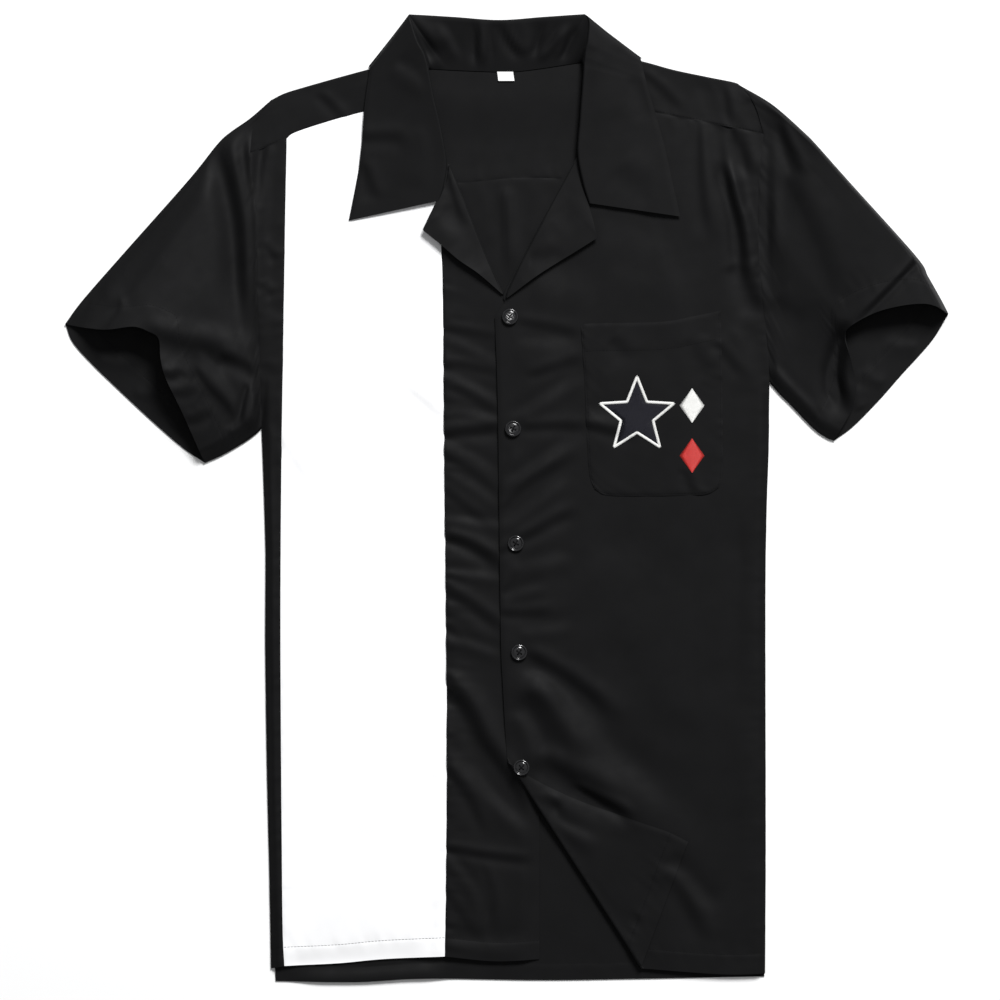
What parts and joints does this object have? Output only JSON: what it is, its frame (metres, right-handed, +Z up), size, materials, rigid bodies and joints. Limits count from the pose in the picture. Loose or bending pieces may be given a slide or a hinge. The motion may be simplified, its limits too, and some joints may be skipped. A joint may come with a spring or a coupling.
{
  "type": "bowling shirt",
  "caption": "Short-sleeved bowling shirt with an open camp collar, a white contrast panel, buttons down the front and a chest pocket, lying flat.",
  "frame": {"origin": "on the surface the shirt lies on, under the middle of its outline", "axes": "+Z up, away from the surface; +Y from hem to collar; +X towards the wearer's left side"},
  "size_m": [0.7066, 0.7736, 0.0275],
  "materials": {
    "black_cotton": "plain-woven cotton poplin with a faint sheen",
    "white_cotton": "plain-woven cotton poplin",
    "black_button": "polished resin",
    "label_white": "woven satin tape"
  },
  "bodies": {
    "root": {"back": "black_cotton", "yoke": "black_cotton", "side_front": "black_cotton", "contrast_panel": "white_cotton", "right_front": "black_cotton", "left_front": "black_cotton", "sleeve_right": "black_cotton", "sleeve_left": "black_cotton", "collar": "black_cotton", "facing_right": "black_cotton", "facing_left": "black_cotton", "pocket": "black_cotton", "button_1": "black_button", "button_2": "black_button", "button_3": "black_button", "button_4": "black_button", "button_5": "black_button", "size_label": "label_white"}
  },
  "joints": []
}
